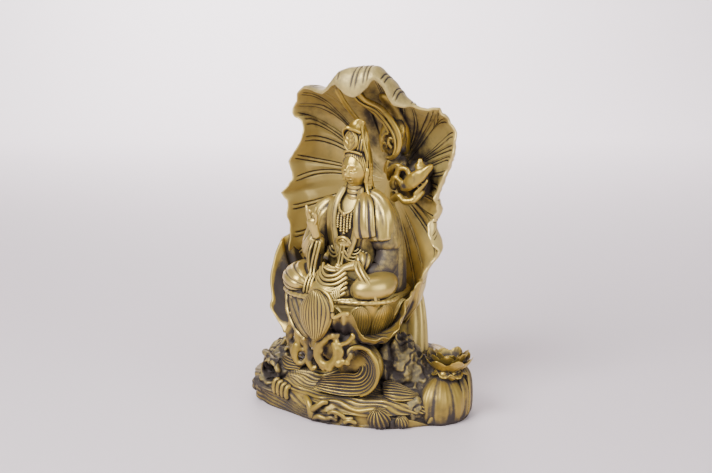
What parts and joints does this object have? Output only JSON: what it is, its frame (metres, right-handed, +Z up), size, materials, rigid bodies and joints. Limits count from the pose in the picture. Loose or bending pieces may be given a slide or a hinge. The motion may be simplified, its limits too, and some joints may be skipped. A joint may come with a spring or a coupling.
{
  "type": "guanyin figure",
  "caption": "Cast brass guanyin seated on a lotus throne inside a curled lotus leaf, on an oval plinth of waves, rocks and an open flower; stands on its flat underside.",
  "frame": {"origin": "middle of the casting's outline, on the plane of the underside", "axes": "+Z up from the underside to the top of the leaf; the figure faces -Y; +X towards the figure's own left side, where the open flower is"},
  "size_m": [0.1572, 0.1186, 0.2284],
  "materials": {
    "brass": "cast and hand polished on the high points, with dark brown patina in the recesses and grey-green patina on the rocks"
  },
  "bodies": {
    "root": {"guanyin_casting": "brass"}
  },
  "joints": []
}
